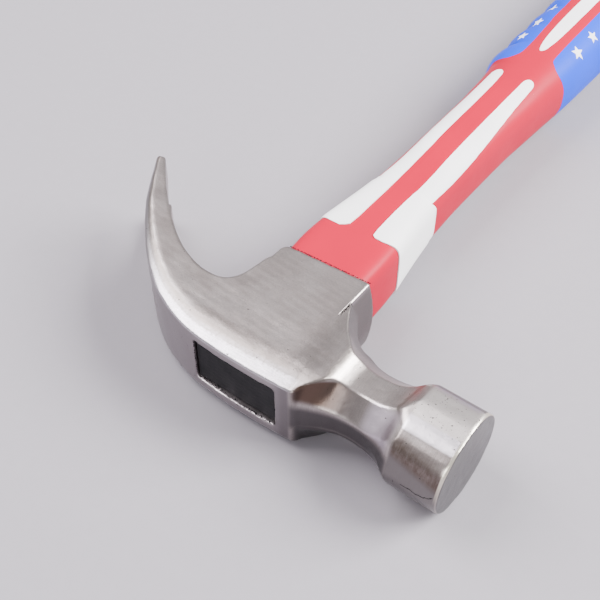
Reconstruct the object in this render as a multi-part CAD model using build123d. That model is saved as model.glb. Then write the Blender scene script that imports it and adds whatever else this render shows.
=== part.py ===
from build123d import *
import os
from math import cos, pi, radians, sin, tan

# A curved claw hammer with a moulded fibreglass handle, lying on its side.  Sizes are in millimetres.
# +X is the way the hammer strikes, +Y runs from the head down the handle, +Z is up.
# Every piece is drawn around the hammer's mirror plane, z = 0, with x = 0 at the middle of the eye
# and y = 0 near the crown.  The last lines lift the hammer onto the floor and centre it there.

# Head: eye and claw
CHEEK = 11.35                   # half the thickness across the two flat cheeks
CROWN = 9.95                    # half the crown's width between its two bevels
CLAW_SPREAD = 12.85             # half the width across the claw's tips
FLARE_START = -15.0             # x where the claw begins to spread
CLAW_TIP_X = -62.3
BEVEL_EYE = 6.9                 # width of the crown's bevel beside the eye
BEVEL_TIP = 1.0                 # and at the claw's tip
BEVEL_DROP = 1.4                # how far the bevel falls from cheek to crown
SKIRT_END = 37.3                # y where the skirt ends and the handle's collar begins, at the face side
SKIRT_SLANT = 3.5               # degrees that this joint leans back towards the claw
SKIRT_FACE_X = 13.3             # the skirt's two sides, at the cheeks
SKIRT_CLAW_X = -12.2
SKIRT_BOW = 1.6                 # how far the sides bow out between the cheeks
EYE_LENGTH, EYE_WIDTH = 25.4, 14.6
EYE_END_LENGTH, EYE_END_WIDTH = 21.6, 15.0

# Head: nail slot
SLOT_ROOT = (-29.0, 12.0)       # middle of the slot's round root
SLOT_ROOT_RADIUS = 1.2
SLOT_MOUTH = 11.6               # gap between the two tips
SLOT_LENGTH = 50.0
CLAW_CHORD = Vector(-0.773, 0.634, 0)

# Head: neck and poll
AXIS_Y = 12.9                   # the neck and the poll are many-sided around this line
POLL_BACK, POLL_FRONT = 43.4, 56.95
POLL_CORNER = 13.5              # from the poll's middle to its ground corners
POLL_TURNED = 13.3              # radius that the corners are turned down to
POLL_LEVEL = 12.85              # height of the two corners that the poll lies on
POLL_ANGLES = (136, 105, 80, 56, 14)    # upper corners, in degrees from +Y, besides the one at the front
FACE_RADIUS = 12.9
FACE_CHAMFER = 1.3

# Handle
CORE_X = -0.9                   # the rod lies a little towards the claw, like the grip around it
CORE_WIDTH, CORE_DEPTH = 14.0, 10.0
CORE_START, CORE_END = 3.0, 312.0
RESIN_TOP, RESIN_END = 0.2, 35.4    # the resin stands a little below the crown and inside the skirt
INLAY_DEPTH = 1.2
FLARE_START_Y, FLARE_END_Y = 52.3, 75.0
STRIPE_END = 288.0
STAR_COUNT, STAR_PITCH = 11, 10.75
STAR_LENGTH, STAR_NOTCH = 2.4, 0.45     # from a star's middle to its points, and the notches' share of it

# Handle sections: y, reach towards the face, reach towards the claw, half thickness, corner radius
COLLAR_AND_WAIST = [
    (35.0, 11.7, 11.9, 10.1, 3.5),
    (40.0, 11.7, 12.5, 10.1, 3.5),
    (49.0, 11.5, 12.7, 10.0, 3.5),
    (60.0, 10.4, 12.1, 9.7, 4.0),
    (68.0, 9.6, 11.3, 9.45, 4.3),
    (76.0, 9.0, 10.6, 9.2, 4.6),
    (90.0, 8.8, 10.8, 9.0, 5.0),
    (105.0, 8.95, 10.85, 9.1, 5.3),
    (120.0, 9.3, 10.85, 9.6, 6.0),
    (130.0, 10.0, 11.2, 10.1, 6.7),
    (137.0, 10.5, 11.7, 10.6, 7.3),
]
GRIP_FIRST = (143.2, 11.1, 12.9, 11.0, 7.9)
GRIP_MIDDLE = (156.1, 12.0, 13.4, 11.6, 9.2)
GRIP_LAST = (285.1, 13.6, 13.8, 12.4, 10.2)
BUTT = [
    (303.0, 15.4, 16.2, 12.85, 10.0),
    (314.0, 15.6, 16.4, 12.85, 10.0),
    (319.5, 14.2, 15.0, 11.4, 9.0),
    (322.5, 11.8, 12.4, 8.8, 7.5),
    (323.7, 8.8, 9.4, 6.0, 5.0),
]
BUMP_COUNT = 11                 # finger bumps down the claw side of the grip
BUMP_SHAPE = [(0.0, 0.0), (0.28, 1.15), (0.72, 1.15)]   # share of a bump's length, and how far it stands out

# The white forks in plan: outer edge, end of the tip, inner edge
FORKS = {
    "face": (
        [(8.1, FLARE_END_Y), (8.0, 92.0), (7.1, 114.0), (6.3, 135.8)],
        (4.5, 138.8),
        [(2.7, 135.8), (2.2, 106.0), (2.9, 78.0), (3.4, FLARE_START_Y)],
    ),
    "claw": (
        [(-9.5, FLARE_END_Y), (-9.1, 92.0), (-9.1, 114.0), (-8.2, 135.8)],
        (-6.4, 138.8),
        [(-4.5, 135.8), (-4.7, 108.0), (-4.0, 80.0), (-3.6, FLARE_START_Y)],
    ),
}
# The blue pads in plan: their start across the handle, then their inner edge down to the end
PADS = {
    "face": (
        [(13.0, 149.0), (9.6, 148.6), (7.6, 149.2), (5.3, 151.6)],
        [(5.0, 176.0), (5.0, 283.0), (9.0, 291.0)],
    ),
    "claw": (
        [(-13.4, 144.6), (-9.2, 144.9), (-6.6, 146.4), (-5.0, 151.0)],
        [(-6.2, 176.0), (-6.2, 283.0), (-9.6, 291.0)],
    ),
}
STRIPE_TIP = [
    (-2.9, 172.0), (-2.3, 160.5), (-1.4, 155.6), (-0.4, 153.3), (0.8, 155.2), (1.5, 160.5), (1.9, 172.0),
]
# The first star of each row, and how much narrower it is across the handle than along it.  Pitch and
# starts keep every point of a star off the joints between the handle's sections.
STARS = {"face": ((8.6, 162.0), 0.82), "claw": ((-10.0, 159.85), 0.66)}


def prism(outline, low, high):
    """A plan outline made solid between two heights."""
    face = make_face(outline)
    return Pos(0, 0, low) * extrude(face, high - low, dir=(0, 0, 1))


def flat_polygon(points):
    return make_face(Polyline(*points, close=True))


def crown_line():
    """The outer curve of the head, from the neck over the eye to the claw's tip."""
    return Spline(
        (17.3, -0.6), (6.0, -1.2), (-6.4, -1.1), (-17.0, 0.2), (-27.6, 4.1),
        (-37.0, 10.4), (-45.6, 18.5), (-53.7, 28.0), (CLAW_TIP_X, 41.4),
    )


def inner_claw_line():
    """The inner curve, from the claw's tip back to the skirt."""
    return Spline(
        (-59.3, 42.0), (-50.7, 33.0), (-41.5, 25.0), (-31.3, 18.6),
        (-21.4, 16.3), (-15.4, 19.2), (-12.6, 29.0),
    )


def collar_joint():
    """The plane where the skirt meets the collar; its normal points down the handle."""
    slant = radians(SKIRT_SLANT)
    return Plane(origin=(SKIRT_FACE_X, SKIRT_END, 0), z_dir=(-sin(slant), cos(slant), 0))


def claw_half_width(x):
    """Half the claw's width across the prongs at x."""
    share = max(0.0, (FLARE_START - x) / (FLARE_START - CLAW_TIP_X))
    return CHEEK + (CLAW_SPREAD - CHEEK) * share


def claw_and_crown():
    outer = crown_line()
    inner = inner_claw_line()
    closing = Polyline(inner @ 1, (10, 29), (15.5, 20), (15.5, -0.7), outer @ 0)
    block = prism([outer, Line(outer @ 1, inner @ 0), inner, closing], -20, 20)
    spread = [(20, CHEEK), (FLARE_START, CHEEK), (CLAW_TIP_X - 2, claw_half_width(CLAW_TIP_X - 2))]
    mirrored = [(x, -z) for x, z in reversed(spread)]
    width = extrude(Plane.XZ * flat_polygon(spread + mirrored), 60, both=True)
    return block & width


def bevel_cutter():
    """What the grinder takes off along the crown's upper edge: a long wedge that thins to the tip."""
    line = crown_line()
    stations = []
    for step in range(9):
        t = step / 8
        point = line @ t
        tangent = line % t
        inward = Vector(tangent.Y, -tangent.X, 0).normalized()
        across = BEVEL_TIP + (BEVEL_EYE - BEVEL_TIP) * (1 - t) ** 1.1
        cheek = claw_half_width(point.X)
        margin = 1.0
        slope = BEVEL_DROP / across
        outside = point - inward * margin + Vector(0, 0, cheek - BEVEL_DROP - slope * margin)
        inside = point + inward * (across + margin) + Vector(0, 0, cheek + slope * margin)
        above = point - inward * margin + Vector(0, 0, cheek + 3)
        stations.append(flat_polygon([outside, inside, above]))
    return loft(stations)


def eye_body():
    """The tube around the eye, down to the skirt's end, with bowed sides."""
    face_side = ThreePointArc((SKIRT_FACE_X, -CHEEK), (SKIRT_FACE_X + SKIRT_BOW, 0), (SKIRT_FACE_X, CHEEK))
    claw_side = ThreePointArc((SKIRT_CLAW_X, CHEEK), (SKIRT_CLAW_X - SKIRT_BOW, 0), (SKIRT_CLAW_X, -CHEEK))
    upper = Line(face_side @ 1, claw_side @ 0)
    lower = Line(claw_side @ 1, face_side @ 0)
    section = Plane.XZ * make_face([face_side, upper, claw_side, lower])
    tube = Pos(0, SKIRT_END + 1, 0) * extrude(section, SKIRT_END - 5.5, dir=(0, -1, 0))
    tube = split(tube, collar_joint(), keep=Keep.BOTTOM)
    corner = tube.edges().filter_by(lambda e: e.center().Y > SKIRT_END - 5).sort_by(Axis.X)[0]
    return fillet(corner, 2.6)


def neck_section(x, front, corners):
    """One section of the neck: a point at the front, and upper corners mirrored to the lower half."""
    upper = [(x, y, z) for y, z in corners]
    lower = [(x, y, -z) for y, z in reversed(corners)]
    return flat_polygon([(x, front, 0)] + upper + lower)


def octagon_section(x, half):
    """A regular octagon, with extra points on its front and top sides."""
    short = half * tan(pi / 8)
    corners = [
        (AXIS_Y - half, short), (AXIS_Y - short, half), (AXIS_Y - short / 2, half),
        (AXIS_Y + short, half), (AXIS_Y + half, short),
    ]
    return neck_section(x, AXIS_Y - half, corners)


def poll_section(x):
    """The poll's hand-ground outline."""
    corners = [
        (AXIS_Y + POLL_CORNER * cos(radians(angle)), min(POLL_LEVEL, POLL_CORNER * sin(radians(angle))))
        for angle in POLL_ANGLES
    ]
    return neck_section(x, AXIS_Y - POLL_CORNER, corners)


def neck():
    top = CHEEK - 0.03
    root = [
        (13.6, -0.85, [(-0.85, 4.1), (-0.85, CROWN), (4.0, top), (28.6, top), (32.0, 6.0)]),
        (15.2, -0.75, [(-0.75, 4.1), (-0.75, CROWN), (3.8, top), (25.6, top), (29.6, 5.8)]),
        (17.3, -0.6, [(-0.6, 4.1), (-0.6, CROWN), (3.4, top), (22.3, top), (26.3, 5.5)]),
        (19.2, 0.6, [(0.6, 4.2), (2.9, 10.8), (4.9, top), (20.1, top), (24.4, 5.2)]),
        (21.6, 1.9, [(1.9, 4.3), (6.2, 11.1), (7.9, 11.2), (17.8, 11.2), (22.7, 4.7)]),
    ]
    waist = [(24.4, 9.8), (27.4, 8.9), (30.8, 8.6), (34.2, 8.8), (37.0, 9.4), (39.4, 10.5), (41.6, 12.1)]
    sections = [neck_section(*station) for station in root]
    sections += [octagon_section(x, half) for x, half in waist]
    return loft(sections + [poll_section(POLL_BACK)], ruled=True)


def poll():
    body = extrude(poll_section(POLL_BACK - 0.4), POLL_FRONT - POLL_BACK + 0.4, dir=(1, 0, 0))
    profile = flat_polygon([
        (POLL_BACK - 1, 0), (POLL_BACK - 1, POLL_TURNED - 0.4), (POLL_BACK + 0.6, POLL_TURNED),
        (POLL_FRONT - FACE_CHAMFER, POLL_TURNED), (POLL_FRONT, FACE_RADIUS), (POLL_FRONT, 0),
    ])
    turned = revolve(profile, Axis.X)
    return body & (Pos(0, AXIS_Y, 0) * turned)


def eye_hole(start, end):
    """The tapered eye between two heights along the handle."""
    mouth = Plane(origin=(0, -3, 0), x_dir=(1, 0, 0), z_dir=(0, 1, 0))
    skirt = Plane(origin=(0, SKIRT_END + 1, 0), x_dir=(1, 0, 0), z_dir=(0, 1, 0))
    taper = loft([
        mouth * RectangleRounded(EYE_LENGTH, EYE_WIDTH, 1.2),
        skirt * RectangleRounded(EYE_END_LENGTH, EYE_END_WIDTH, 1.2),
    ])
    return taper & (Pos(0, (start + end) / 2, 0) * Box(60, end - start, 60))


def nail_slot():
    """A V between the two prongs, round at its root."""
    across = Vector(-CLAW_CHORD.Y, CLAW_CHORD.X, 0)
    plane = Plane(origin=(*SLOT_ROOT, 0), x_dir=CLAW_CHORD, z_dir=across)
    wedge = flat_polygon([
        (0, -SLOT_ROOT_RADIUS), (SLOT_LENGTH, -SLOT_MOUTH / 2),
        (SLOT_LENGTH, SLOT_MOUTH / 2), (0, SLOT_ROOT_RADIUS),
    ])
    outline = wedge + Circle(SLOT_ROOT_RADIUS)
    return plane * Pos(0, 0, -14) * extrude(outline, 30)


def hammer_head():
    cutter = bevel_cutter()
    head = claw_and_crown() - cutter - mirror(cutter, Plane.XY)
    head = head + eye_body() + neck() + poll()
    return head - eye_hole(-3, SKIRT_END + 1) - nail_slot()


def handle_section(y, face, claw, thick, corner, inset):
    plane = Plane(origin=((face - claw) / 2, y, 0), x_dir=(1, 0, 0), z_dir=(0, 1, 0))
    return plane * RectangleRounded(face + claw - 2 * inset, 2 * (thick - inset), corner - inset)


def grip_stations(with_bumps):
    """Sections between the grip's two ends, with the finger bumps raised on the claw side."""
    shape = BUMP_SHAPE if with_bumps else [(0.0, 0.0)]
    stations = []
    for bump in range(BUMP_COUNT):
        for place, rise in shape:
            start, end = (GRIP_FIRST, GRIP_MIDDLE) if bump == 0 else (GRIP_MIDDLE, GRIP_LAST)
            share = place if bump == 0 else (bump - 1 + place) / (BUMP_COUNT - 1)
            y, face, claw, thick, corner = (a + (b - a) * share for a, b in zip(start, end))
            stations.append((y, face, claw + rise, thick, corner))
    return stations + [GRIP_LAST]


def handle_form(inset=0.0):
    stations = COLLAR_AND_WAIST + grip_stations(inset == 0) + BUTT
    sections = [handle_section(*station, inset) for station in stations]
    return split(loft(sections, ruled=True), collar_joint(), keep=Keep.TOP)


def beyond(side):
    """An x well outside the handle, on the side asked for."""
    return 24 if side == "face" else -24


def fork_outline(side):
    """A white fork in plan: a flare behind the collar that narrows to a stripe with a round end."""
    outer, tip, inner = FORKS[side]
    far = beyond(side)
    flare = Polyline(inner[-1], (far, FLARE_START_Y), (far, FLARE_END_Y), outer[0])
    return [Spline(*outer), ThreePointArc(outer[-1], tip, inner[0]), Spline(*inner), flare]


def pad_outline(side):
    """A blue pad in plan: it wraps the narrow side and leaves a red band beside the stripe."""
    start, inner = PADS[side]
    far = beyond(side)
    return [Spline(*start), Polyline(start[-1], *inner, (far, inner[-1][1]), (far, start[0][1]), start[0])]


def star_outline(across):
    points = []
    for index in range(10):
        radius = STAR_LENGTH if index % 2 == 0 else STAR_LENGTH * STAR_NOTCH
        angle = pi / 2 + index * pi / 5
        points.append((across * radius * cos(angle), radius * sin(angle)))
    return flat_polygon(points)


def star_prisms(side):
    (x, first_y), across = STARS[side]
    star = star_outline(across)
    row = [Pos(x, first_y + STAR_PITCH * index) * star for index in range(STAR_COUNT)]
    return extrude(Sketch() + row, 20, both=True)


def stripe_outline():
    """The centre stripe in plan: a rounded point, parallel sides and a round end."""
    left, right = STRIPE_TIP[0], STRIPE_TIP[-1]
    radius = (right[0] - left[0]) / 2
    end = [(left[0], STRIPE_END - radius), (left[0] + radius, STRIPE_END), (right[0], STRIPE_END - radius)]
    return [Spline(*STRIPE_TIP), Line(right, end[2]), ThreePointArc(*reversed(end)), Line(end[0], left)]


def fibreglass_core():
    plane = Plane(origin=(CORE_X, CORE_START, 0), x_dir=(1, 0, 0), z_dir=(0, 1, 0))
    return extrude(plane * RectangleRounded(CORE_WIDTH, CORE_DEPTH, 4.6), CORE_END - CORE_START)


def handle_pieces():
    """The red sleeve and the coloured mouldings let into its surface, each flush with the next."""
    core = fibreglass_core()
    form = handle_form()
    skin = form - handle_form(INLAY_DEPTH)
    pieces = {}
    for side in ("claw", "face"):
        stars = star_prisms(side)
        pad = skin & prism(pad_outline(side), -20, 20)
        pieces[f"white_fork_{side}_side"] = skin & prism(fork_outline(side), -20, 20)
        pieces[f"stars_{side}_side"] = pad & stars
        pieces[f"blue_pad_{side}_side"] = pad - stars
    pieces["grip_stripe_upper"] = skin & prism(stripe_outline(), 0, 20)
    pieces["grip_stripe_lower"] = skin & prism(stripe_outline(), -20, 0)
    pieces["grip_sleeve"] = form - core - list(pieces.values())
    pieces["fibreglass_core"] = core
    return pieces


def all_pieces():
    pieces = handle_pieces()
    pieces["hammer_head"] = hammer_head()
    pieces["eye_resin"] = eye_hole(RESIN_TOP, RESIN_END) - pieces["fibreglass_core"]
    return pieces


PIECES = all_pieces()
BOX = Compound([solid for piece in PIECES.values() for solid in piece.solids()]).bounding_box()
PLACE = Pos(-BOX.center().X, -BOX.center().Y, -BOX.min.Z)

os.makedirs("parts", exist_ok=True)
for node, piece in PIECES.items():
    export_step(PLACE * piece, f"parts/{node}.step")
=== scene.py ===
import math

import bmesh
import bpy
import numpy as np
from mathutils import Matrix, Vector


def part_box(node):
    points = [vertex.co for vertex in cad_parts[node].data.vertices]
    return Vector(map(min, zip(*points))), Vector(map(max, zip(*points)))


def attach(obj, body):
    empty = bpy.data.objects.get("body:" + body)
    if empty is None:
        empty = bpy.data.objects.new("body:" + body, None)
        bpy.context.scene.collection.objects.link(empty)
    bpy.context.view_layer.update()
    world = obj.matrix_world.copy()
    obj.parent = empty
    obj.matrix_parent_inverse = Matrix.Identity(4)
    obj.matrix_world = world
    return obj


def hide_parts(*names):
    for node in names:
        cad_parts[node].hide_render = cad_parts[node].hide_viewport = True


# The hammer is shaped in millimetres around its own mirror plane: x = 0 at the middle of the eye,
# +x towards the striking face, +y down the handle, z = 0 halfway between the two cheeks.
MM = 0.001

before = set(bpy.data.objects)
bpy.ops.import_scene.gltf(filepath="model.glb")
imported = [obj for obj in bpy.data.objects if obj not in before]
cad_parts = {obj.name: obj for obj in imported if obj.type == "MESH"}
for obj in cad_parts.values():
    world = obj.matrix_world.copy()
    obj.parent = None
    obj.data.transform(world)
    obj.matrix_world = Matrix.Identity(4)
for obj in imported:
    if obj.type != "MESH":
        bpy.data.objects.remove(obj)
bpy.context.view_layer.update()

# ---------------------------------------------------------------- where the hammer stands in the frame
FACE_X = 56.95
RESIN_END_Y = 35.4
HEAD_LOW, HEAD_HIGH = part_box("hammer_head")
OFFSET = Vector((
    HEAD_HIGH.x / MM - FACE_X,
    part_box("eye_resin")[1].y / MM - RESIN_END_Y,
    (HEAD_LOW.z + HEAD_HIGH.z) / 2 / MM,
))


def to_frame(x, y, z):
    return (Vector((x, y, z)) + OFFSET) * MM


# ---------------------------------------------------------------- camera
# Its place in the hammer's millimetres, its angles in degrees and its lens in millimetres.
CAMERA_PLACE = (101.1, -107.2, 191.2)
CAMERA_AZIMUTH, CAMERA_DEPRESSION, CAMERA_ROLL = 37.2, 47.86, -0.28
CAMERA_LENS = 59.32


def make_camera():
    azimuth, depression = math.radians(CAMERA_AZIMUTH), math.radians(CAMERA_DEPRESSION)
    roll = math.radians(CAMERA_ROLL)
    forward = Vector((
        -math.sin(azimuth) * math.cos(depression),
        math.cos(azimuth) * math.cos(depression),
        -math.sin(depression),
    ))
    right = forward.cross(Vector((0, 0, 1))).normalized()
    up = right.cross(forward)
    turned_right = right * math.cos(roll) + up * math.sin(roll)
    turned_up = up * math.cos(roll) - right * math.sin(roll)
    data = bpy.data.cameras.new("photo_camera")
    data.sensor_width = 36.0
    data.lens = CAMERA_LENS
    data.clip_start = 0.01
    camera = bpy.data.objects.new("photo_camera", data)
    bpy.context.scene.collection.objects.link(camera)
    rotation = Matrix((turned_right, turned_up, -forward)).transposed().to_4x4()
    camera.matrix_world = Matrix.Translation(to_frame(*CAMERA_PLACE)) @ rotation
    bpy.context.scene.camera = camera


make_camera()

# ---------------------------------------------------------------- curves and smooth arithmetic


def smooth_through(x, points):
    """A smooth curve with no overshoot through (x, value) points, held level past its two ends."""
    xs, ys = np.array(points, float).T
    step = np.diff(xs)
    slope = np.diff(ys) / step
    tangent = np.zeros_like(ys)
    same = slope[:-1] * slope[1:] > 0
    weight_a, weight_b = 2 * step[1:] + step[:-1], step[1:] + 2 * step[:-1]
    safe_a, safe_b = np.where(same, slope[:-1], 1.0), np.where(same, slope[1:], 1.0)
    tangent[0], tangent[-1] = slope[0], slope[-1]
    tangent[1:-1] = np.where(same, (weight_a + weight_b) / (weight_a / safe_a + weight_b / safe_b), 0.0)
    x = np.clip(x, xs[0], xs[-1])
    i = np.clip(np.searchsorted(xs, x, side="right") - 1, 0, len(step) - 1)
    t = (x - xs[i]) / step[i]
    a = (1 + 2 * t) * (1 - t) ** 2
    b = t * (1 - t) ** 2
    c = t * t * (3 - 2 * t)
    d = t * t * (t - 1)
    return a * ys[i] + b * step[i] * tangent[i] + c * ys[i + 1] + d * step[i] * tangent[i + 1]


def curve_through(points, steps=24):
    """A smooth plane curve through a few points, as an array of points."""
    p = np.array(points, float)
    p = np.vstack([2 * p[0] - p[1], p, 2 * p[-1] - p[-2]])
    t = np.linspace(0, 1, steps, endpoint=False)[:, None]
    spans = []
    for i in range(1, len(p) - 2):
        a, b, c, d = p[i - 1], p[i], p[i + 1], p[i + 2]
        spans.append(0.5 * (2 * b + (c - a) * t + (2 * a - 5 * b + 4 * c - d) * t ** 2
                            + (3 * b - a - 3 * c + d) * t ** 3))
    return np.vstack(spans + [p[-2:-1]])


def union(a, b, radius):
    """The nearer of two distances, with a fillet of about this radius where they meet."""
    h = np.clip(0.5 + 0.5 * (b - a) / radius, 0, 1)
    return b + (a - b) * h - radius * h * (1 - h)


def common(a, b, radius):
    """The farther of two distances, with a rounded edge of about this radius."""
    return -union(-a, -b, radius)


WAVE_COUNT = 5


def waves(x, y, z, length, seed):
    """A gentle unevenness between -1 and 1, the same on every run."""
    rng = np.random.default_rng(seed)
    total = 0.0
    for _ in range(WAVE_COUNT):
        direction = rng.normal(size=3)
        direction *= 2 * math.pi / length / np.linalg.norm(direction) * rng.uniform(0.6, 1.5)
        phase = direction[0] * x + direction[1] * y + direction[2] * z
        total = total + np.sin(phase + rng.uniform(0, 6.28))
    return total / WAVE_COUNT


# ---------------------------------------------------------------- the forged head
# Half the width across the cheeks and across the claw's tips, and where the widening starts and ends.
CHEEK, CLAW_SPREAD = 11.35, 12.85
SPREAD_START, CLAW_END = -15.0, -62.3
BEVEL_DROP = 1.4
# The poll: its axis, the reach of its flats, its turned radius and its face's radius. Then where the poll
# and the neck start.
AXIS_Y = 12.9
POLL_FLAT, POLL_TURNED, FACE_RADIUS = 12.9, 13.4, 12.9
POLL_START, NECK_START = 38.0, 13.6
# The slanted joint between the skirt and the handle: its angle, and its end at the skirt's front.
SLANT = math.radians(3.5)
JOINT_X, JOINT_Y = 13.3, 37.3
SKIRT_BACK, SKIRT_TOP = -12.2, 6.5
# The nail slot's root, its radius there, and its direction along the claw.
SLOT_ROOT, SLOT_RADIUS, SLOT_ALONG = (-29.0, 12.0), 1.2, (-0.773, 0.634)
CELL = 0.34

CROWN_LINE = curve_through([
    (17.3, -0.6), (6.0, -1.2), (-6.4, -1.1), (-17.0, 0.2), (-27.6, 4.1), (-37.0, 10.4),
    (-45.6, 18.5), (-53.7, 28.0), (-62.3, 41.4),
])
INNER_LINE = curve_through([
    (-59.3, 42.0), (-50.7, 33.0), (-41.5, 25.0), (-31.3, 18.6), (-21.4, 16.3), (-15.4, 19.2), (-12.6, 29.0),
])

# Each side of the neck and poll, by x: first its distance from the axis, then its turn around the axis in
# degrees from +y.
WAIST = [(24.4, 9.8), (27.4, 8.9), (30.8, 8.6), (34.2, 8.8), (37.0, 9.4), (39.4, 10.5), (41.6, 12.0),
         (43.4, POLL_FLAT)]
FRONT = [(13.6, 13.75), (17.3, 13.5), (19.2, 12.3), (21.6, 11.0)] + WAIST
TOP = [(13.6, 11.33), (20.5, 11.33), (22.3, 10.95)] + WAIST
BACK = [(13.6, 19.1), (15.2, 16.7), (17.3, 13.6), (19.2, 11.8), (21.6, 10.5)] + WAIST
FRONT_TOP = [(13.6, 13.75), (17.3, 13.5), (19.2, 13.0), (21.6, 11.6)] + WAIST
BACK_TOP = [(13.6, 19.3), (15.2, 16.9), (17.3, 14.15), (19.2, 12.4), (21.6, 10.8)] + WAIST
FRONT_TOP_TURN = [(13.6, 180), (17.3, 180), (19.2, 161), (21.6, 148), (24.4, 135), (34.0, 135),
                  (43.4, 120.5)]
BACK_TOP_TURN = [(13.6, 33), (19.2, 35), (24.4, 45), (34.0, 45), (43.4, 35)]
TOP_TURN = [(34.0, 90), (43.4, 80.5)]
FRONT_TURN = [(34.0, 180), (43.4, 162)]
FRONT_LOW_TURN = [(34.0, 180), (43.4, 206)]
BACK_TURN = [(0, 0), (60, 0)]
# Turn, distance, and whether the side is repeated below the mirror plane.
NECK_SIDES = [
    (FRONT_TURN, FRONT, False), (FRONT_LOW_TURN, FRONT, False), (FRONT_TOP_TURN, FRONT_TOP, True),
    (TOP_TURN, TOP, True), (BACK_TOP_TURN, BACK_TOP, True), (BACK_TURN, BACK, False),
]


def nearest_on(line, x, y):
    """Distance from each plan point to a line of points, positive on the line's left, and how far along
    the line it is, 0 to 1."""
    best = np.full(x.shape, 1e9)
    along = np.zeros(x.shape)
    start, end = line[:-1], line[1:]
    for i, (a, b) in enumerate(zip(start, end)):
        d = b - a
        t = np.clip(((x - a[0]) * d[0] + (y - a[1]) * d[1]) / (d @ d), 0, 1)
        gap = np.hypot(x - a[0] - t * d[0], y - a[1] - t * d[1])
        closer = gap < np.abs(best)
        left = d[0] * (y - a[1]) - d[1] * (x - a[0]) > 0
        best = np.where(closer, np.where(left, gap, -gap), best)
        along = np.where(closer, (i + t) / len(start), along)
    return best, along


def plan_distance(outline, x, y):
    """Signed distance to a closed plan outline, negative inside."""
    closed = np.vstack([outline, outline[:1]])
    gap = np.abs(nearest_on(closed, x, y)[0])
    inside = np.zeros(x.shape, bool)
    for a, b in zip(closed[:-1], closed[1:]):
        crosses = (a[1] > y) != (b[1] > y)
        rise = b[1] - a[1] if b[1] != a[1] else 1e-9
        inside ^= crosses & (x < a[0] + (y - a[1]) * (b[0] - a[0]) / rise)
    return np.where(inside, -gap, gap)


def neck_and_poll(x, y, z):
    """Signed distance to the ground sides of the neck and poll, and to the poll's turned rim."""
    v = y - AXIS_Y
    ridge_radius = smooth_through(x, [(40.5, 0.28), (45.0, 1.6)])
    shape = None
    for turn, reach, mirrored in NECK_SIDES:
        angle = np.radians(smooth_through(x, turn))
        distance = smooth_through(x, reach)
        height = np.abs(z) if mirrored else z
        side = v * np.cos(angle) + height * np.sin(angle) - distance
        shape = side if shape is None else common(shape, side, ridge_radius)
    radius = np.hypot(v, z)
    chamfer = (x - FACE_X) * 0.39 + (radius - FACE_RADIUS) * 0.92
    turned = common(radius - POLL_TURNED, chamfer, 0.15)
    shape = common(shape, np.where(x > POLL_START, turned, -5.0), 0.3)
    shape = common(shape, x - FACE_X, 0.5)
    return np.maximum(shape, NECK_START - x)


def claw_half_width(x):
    share = np.clip((SPREAD_START - x) / (SPREAD_START - CLAW_END), 0, 1)
    return CHEEK + (CLAW_SPREAD - CHEEK) * share


def eye_half_widths(y):
    """Half the eye along x, which narrows towards the handle, and along z, which widens a little."""
    share = (y + 3.0) / 41.3
    return 12.7 - 1.9 * share, 7.3 + 0.2 * share


def eye_gap(x, y, z):
    """Signed distance to the tapered eye."""
    half_x, half_z = eye_half_widths(y)
    corner = 1.2
    ragged = 0.16 * waves(x, 0 * y, z, 1.7, 5) * np.clip(1 - (y + 1) / 3, 0, 1)
    px = np.abs(x) - half_x + corner
    pz = np.abs(z) - half_z + corner
    outside = np.hypot(np.maximum(px, 0), np.maximum(pz, 0))
    return outside + np.minimum(np.maximum(px, pz), 0) - corner + ragged * np.where(z < 0, 1.0, 0.35)


def nail_slot(x, y, z):
    """Signed distance to the V-shaped slot, which has a round root and widens along the claw."""
    dx, dy = x - SLOT_ROOT[0], y - SLOT_ROOT[1]
    along = SLOT_ALONG[0] * dx + SLOT_ALONG[1] * dy
    through = SLOT_ALONG[1] * dx - SLOT_ALONG[0] * dy
    half_gap = SLOT_RADIUS + 4.6 * np.maximum(along, 0) / 50
    wedge = np.abs(z) - half_gap
    root = np.hypot(np.minimum(along, 0), z) - SLOT_RADIUS
    return np.maximum(np.where(along > 0, wedge, root), through - 12)


def head_distance(x, y, z):
    """Signed distance to the head's surface on a grid. Plan quantities are worked out once."""
    px, py = x[:, :, :1], y[:, :, :1]
    end = np.array([(10, 29), (16, 20), (16, -0.7)])
    plan = plan_distance(np.vstack([CROWN_LINE[::2], INNER_LINE[::2], end]), px, py)
    from_crown, along = nearest_on(CROWN_LINE, px, py)
    inward = np.where(px < 17, -from_crown, py + 0.7)
    height = np.abs(z)
    bow = 1.6 * (1 - (z / CHEEK) ** 2)
    joint = -(px - JOINT_X) * math.sin(SLANT) + (py - JOINT_Y) * math.cos(SLANT)
    skirt = common(SKIRT_BACK - bow - x, joint + 0 * z, 2.4)
    skirt = common(skirt, x - JOINT_X - bow, 0.3)
    skirt = np.maximum(skirt, SKIRT_TOP - y)
    head = common(union(plan + 0 * z, skirt, 2.2), height - claw_half_width(px), 0.28)
    head = union(head, neck_and_poll(x, y, z), 0.35)
    bevel_width = 1.0 + 5.9 * (1 - along) ** 1.1
    slope = BEVEL_DROP / bevel_width
    bevel_height = claw_half_width(px) - BEVEL_DROP + slope * inward
    head = common(head, (height - bevel_height) / np.sqrt(1 + slope ** 2), 0.5)
    head = head + 0.05 * waves(x, y, z, 9.0, 3) + 0.02 * waves(x, y, z, 3.0, 4)
    head = common(head, -eye_gap(x, y, z), 0.22)
    return common(head, -nail_slot(x, y, z), 0.5)


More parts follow.
